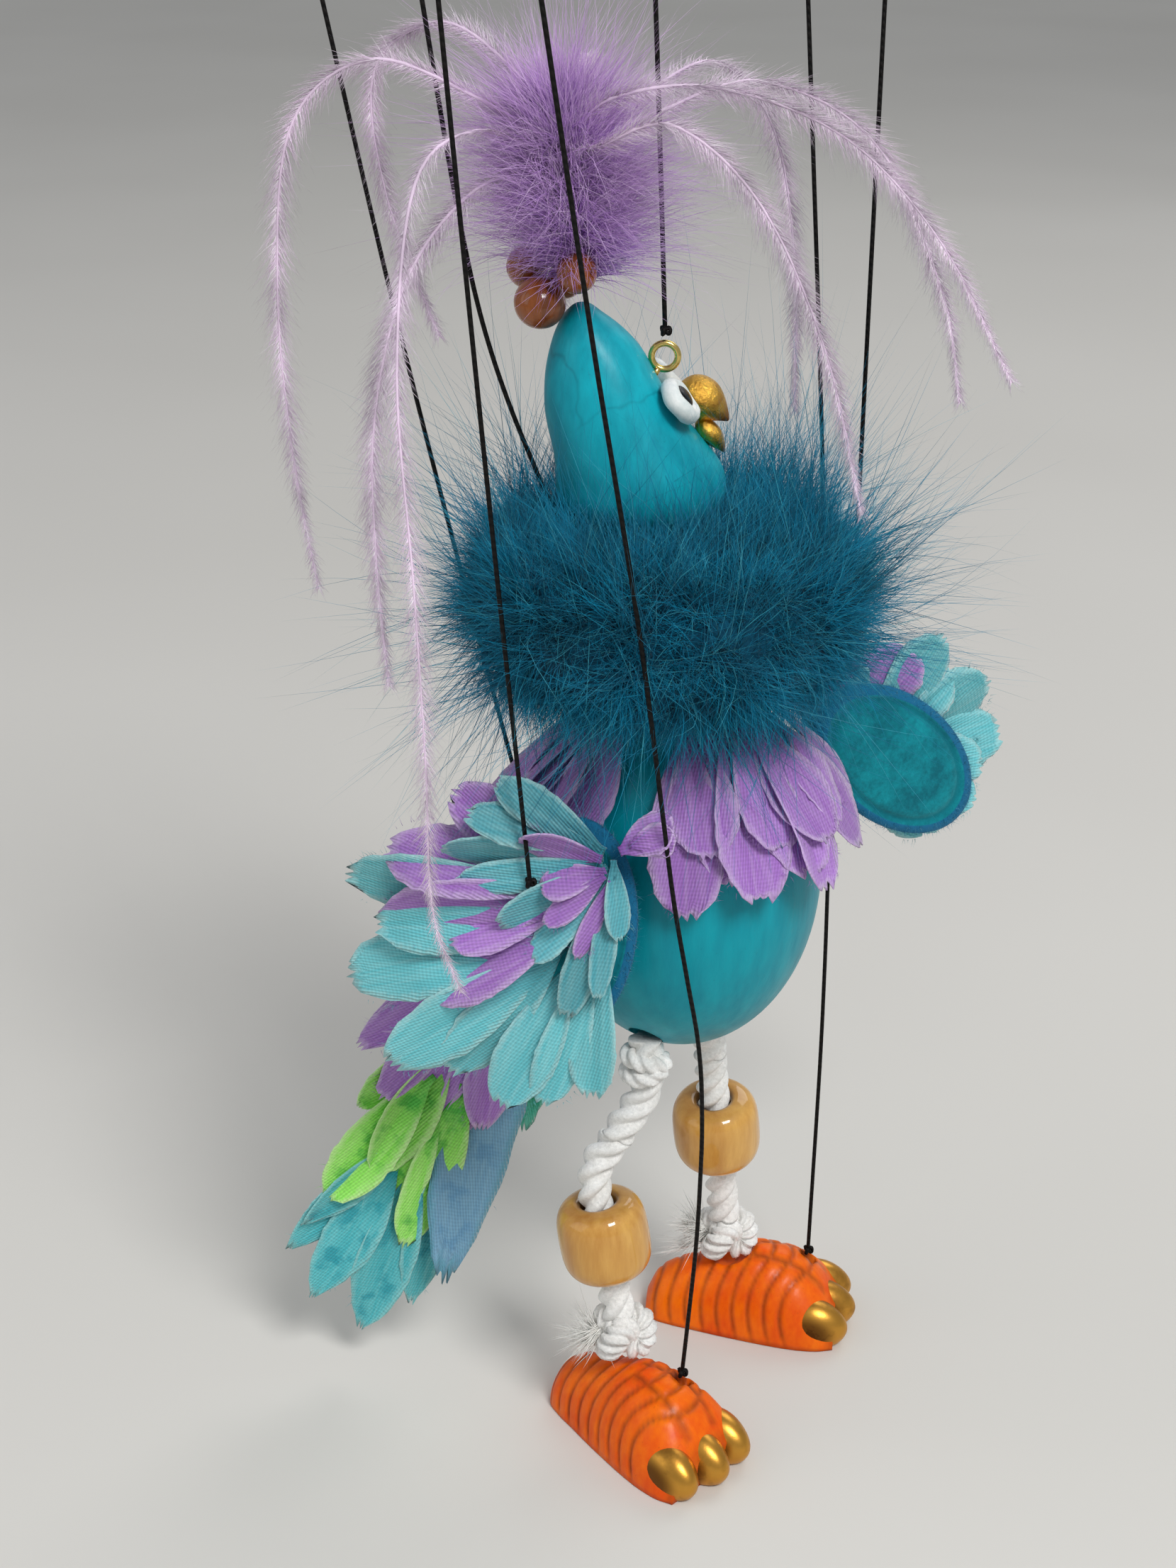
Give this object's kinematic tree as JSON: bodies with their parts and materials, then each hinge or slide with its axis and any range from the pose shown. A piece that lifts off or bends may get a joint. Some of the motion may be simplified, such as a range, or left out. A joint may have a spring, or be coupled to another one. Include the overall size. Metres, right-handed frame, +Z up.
{
  "type": "bird marionette",
  "caption": "Hand-painted bird marionette with feather plume and collar, petal skirt, wings and tail, and rope legs with wooden beads, hung on threads.",
  "frame": {"origin": "level of the knots at the tops of the threads, above the middle of the body", "axes": "+X the way the bird faces, +Y its left, +Z up"},
  "size_m": [0.1343, 0.1268, 0.312],
  "materials": {
    "turquoise_paint": "satin",
    "turquoise_suede": "matte",
    "teal_feather": "matte",
    "purple_petal": "satin",
    "aqua_petal": "satin",
    "small_petal": "satin",
    "lime_petal": "satin",
    "slate_felt": "matte",
    "green_leaf": "satin",
    "lilac_feather": "matte",
    "cotton_rope": "matte",
    "varnished_wood": "gloss",
    "amber_wood": "gloss",
    "orange_paint": "satin",
    "white_clay": "matte",
    "gold_leaf": "satin",
    "brass_wire": "polished",
    "black_thread": "matte"
  },
  "bodies": {
    "torso": {"body_shell": "turquoise_paint", "neck_stopper_knot": "cotton_rope", "right_hip_rope": "cotton_rope", "left_hip_rope": "cotton_rope", "skirt_petals": "purple_petal", "boa_collar": "teal_feather", "back_screw_eye": "brass_wire", "back_thread": "black_thread"},
    "neck": {"neck_rope": "cotton_rope"},
    "head": {"head_shell": "turquoise_paint", "right_eye": "white_clay", "left_eye": "white_clay", "beak_upper": "gold_leaf", "beak_lower": "gold_leaf", "head_screw_eye": "brass_wire", "crest_bead_1": "amber_wood", "crest_bead_2": "amber_wood", "crest_bead_3": "amber_wood", "crest_bead_4": "amber_wood", "plume_tuft": "lilac_feather", "plume_strand_1": "lilac_feather", "plume_strand_2": "lilac_feather", "plume_strand_3": "lilac_feather", "plume_strand_4": "lilac_feather", "plume_strand_5": "lilac_feather", "plume_strand_6": "lilac_feather", "plume_strand_7": "lilac_feather", "plume_strand_8": "lilac_feather", "plume_strand_9": "lilac_feather"},
    "head_string": {"head_thread": "black_thread"},
    "right_wing": {"right_wing_pad": "turquoise_suede", "right_wing_light_petals": "aqua_petal", "right_wing_purple_petals": "purple_petal", "right_wing_small_petals": "small_petal"},
    "right_wing_string": {"right_wing_thread": "black_thread"},
    "left_wing": {"left_wing_pad": "turquoise_suede", "left_wing_light_petals": "aqua_petal", "left_wing_purple_petals": "purple_petal", "left_wing_small_petals": "small_petal"},
    "left_wing_string": {"left_wing_thread": "black_thread"},
    "tail": {"tail_backing": "turquoise_suede", "tail_purple_petals": "purple_petal", "tail_lime_petals": "lime_petal", "tail_turquoise_petals": "aqua_petal", "tail_slate_leaf": "slate_felt", "tail_green_leaf": "green_leaf"},
    "tail_string": {"tail_thread": "black_thread"},
    "right_thigh": {"right_upper_rope": "cotton_rope"},
    "right_shin": {"right_lower_rope": "cotton_rope"},
    "right_bead": {"right_leg_bead": "varnished_wood"},
    "right_ankle": {"right_ankle_knot": "cotton_rope"},
    "right_foot": {"right_foot": "orange_paint"},
    "right_foot_string": {"right_foot_thread": "black_thread"},
    "left_thigh": {"left_upper_rope": "cotton_rope"},
    "left_shin": {"left_lower_rope": "cotton_rope"},
    "left_bead": {"left_leg_bead": "varnished_wood"},
    "left_ankle": {"left_ankle_knot": "cotton_rope"},
    "left_foot": {"left_foot": "orange_paint"},
    "left_foot_string": {"left_foot_thread": "black_thread"}
  },
  "joints": [
    {"name": "head_nod", "type": "hinge", "parent": "torso", "child": "neck", "pos_m": [-0.0015, 0, -0.1405], "axis": [0, 1, 0], "range_deg": [0, 12]},
    {"name": "head_turn", "type": "hinge", "parent": "neck", "child": "head", "pos_m": [-0.0092, 0, -0.1075], "axis": [0, 0, 1], "range_deg": [-20, 20], "deforming": ["plume_tuft", "plume_strand_1", "plume_strand_2", "plume_strand_3", "plume_strand_4", "plume_strand_5", "plume_strand_6", "plume_strand_7", "plume_strand_8", "plume_strand_9"]},
    {"name": "head_string_upright", "type": "hinge", "parent": "head", "child": "head_string", "pos_m": [-0.00586, 0.00119, -0.07385], "axis": [0, 1, 0], "range_deg": [-12, 0]},
    {"name": "right_wing_flap", "type": "hinge", "parent": "torso", "child": "right_wing", "pos_m": [0.0005, -0.0315, -0.161], "axis": [-1, 0, 0], "range_deg": [0, 45]},
    {"name": "right_wing_string_upright", "type": "hinge", "parent": "right_wing", "child": "right_wing_string", "pos_m": [-0.01155, -0.04456, -0.17031], "axis": [-1, 0, 0], "range_deg": [-45, 0]},
    {"name": "left_wing_flap", "type": "hinge", "parent": "torso", "child": "left_wing", "pos_m": [0.016, 0.0245, -0.16], "axis": [0.7502, -0.6612, 0], "range_deg": [0, 35]},
    {"name": "left_wing_string_upright", "type": "hinge", "parent": "left_wing", "child": "left_wing_string", "pos_m": [0.01939, 0.04108, -0.16158], "axis": [0.7502, -0.6612, 0], "range_deg": [-35, 0]},
    {"name": "tail_lift", "type": "hinge", "parent": "torso", "child": "tail", "pos_m": [-0.0315, -0.002, -0.187], "axis": [0, 1, 0], "range_deg": [0, 30]},
    {"name": "tail_string_upright", "type": "hinge", "parent": "tail", "child": "tail_string", "pos_m": [-0.0375, 0.008, -0.1935], "axis": [0, 1, 0], "range_deg": [-30, 0]},
    {"name": "right_leg_lift", "type": "hinge", "parent": "torso", "child": "right_thigh", "pos_m": [-0.0005, -0.0155, -0.22795], "axis": [0, 1, 0], "range_deg": [0, 28]},
    {"name": "right_knee", "type": "hinge", "parent": "right_thigh", "child": "right_shin", "pos_m": [-0.0095, -0.021, -0.251], "axis": [0, 1, 0], "range_deg": [-45, 0]},
    {"name": "right_ankle_level", "type": "hinge", "parent": "right_shin", "child": "right_ankle", "pos_m": [-0.0035, -0.0195, -0.2875], "axis": [0, 1, 0], "range_deg": [0, 17]},
    {"name": "right_foot_pitch", "type": "hinge", "parent": "right_ankle", "child": "right_foot", "pos_m": [-0.0035, -0.0195, -0.2875], "axis": [-0.309, -0.9511, 0], "range_deg": [0, 20]},
    {"name": "right_foot_string_upright", "type": "hinge", "parent": "right_foot", "child": "right_foot_string", "pos_m": [0.01067, -0.01927, -0.29386], "axis": [-0.309, -0.9511, 0], "range_deg": [-20, 0]},
    {"name": "right_bead_slide", "type": "slide", "parent": "right_shin", "child": "right_bead", "axis": [-0.1621, -0.0405, 0.9859], "range_m": [-0.0075, 0.0003]},
    {"name": "left_leg_lift", "type": "hinge", "parent": "torso", "child": "left_thigh", "pos_m": [0.001, 0.014, -0.2292], "axis": [0, 1, 0], "range_deg": [0, 45]},
    {"name": "left_knee", "type": "hinge", "parent": "left_thigh", "child": "left_shin", "pos_m": [-0.0003, 0.0188, -0.2435], "axis": [0, 1, 0], "range_deg": [-58, 0]},
    {"name": "left_ankle_level", "type": "hinge", "parent": "left_shin", "child": "left_ankle", "pos_m": [0, 0.0285, -0.2905], "axis": [0, 1, 0], "range_deg": [0, 13]},
    {"name": "left_foot_pitch", "type": "hinge", "parent": "left_ankle", "child": "left_foot", "pos_m": [0, 0.0285, -0.2905], "axis": [0.309, -0.9511, 0], "range_deg": [0, 20]},
    {"name": "left_foot_string_upright", "type": "hinge", "parent": "left_foot", "child": "left_foot_string", "pos_m": [0.01699, 0.0377, -0.29582], "axis": [0.309, -0.9511, 0], "range_deg": [-20, 0]},
    {"name": "left_bead_slide", "type": "slide", "parent": "left_shin", "child": "left_bead", "axis": [-0.0063, -0.2021, 0.9793], "range_m": [-0.017, 0.0015]}
  ],
  "couplings": [
    {"joint": "head_string_upright", "follows": "head_nod", "ratio": -1},
    {"joint": "right_wing_string_upright", "follows": "right_wing_flap", "ratio": -1},
    {"joint": "left_wing_string_upright", "follows": "left_wing_flap", "ratio": -1},
    {"joint": "tail_string_upright", "follows": "tail_lift", "ratio": -1},
    {"joint": "right_knee", "follows": "right_leg_lift", "ratio": -1.6},
    {"joint": "right_ankle_level", "follows": "right_leg_lift", "ratio": 0.6},
    {"joint": "right_foot_string_upright", "follows": "right_foot_pitch", "ratio": -1},
    {"joint": "left_knee", "follows": "left_leg_lift", "ratio": -1.27},
    {"joint": "left_ankle_level", "follows": "left_leg_lift", "ratio": 0.27},
    {"joint": "left_foot_string_upright", "follows": "left_foot_pitch", "ratio": -1}
  ]
}
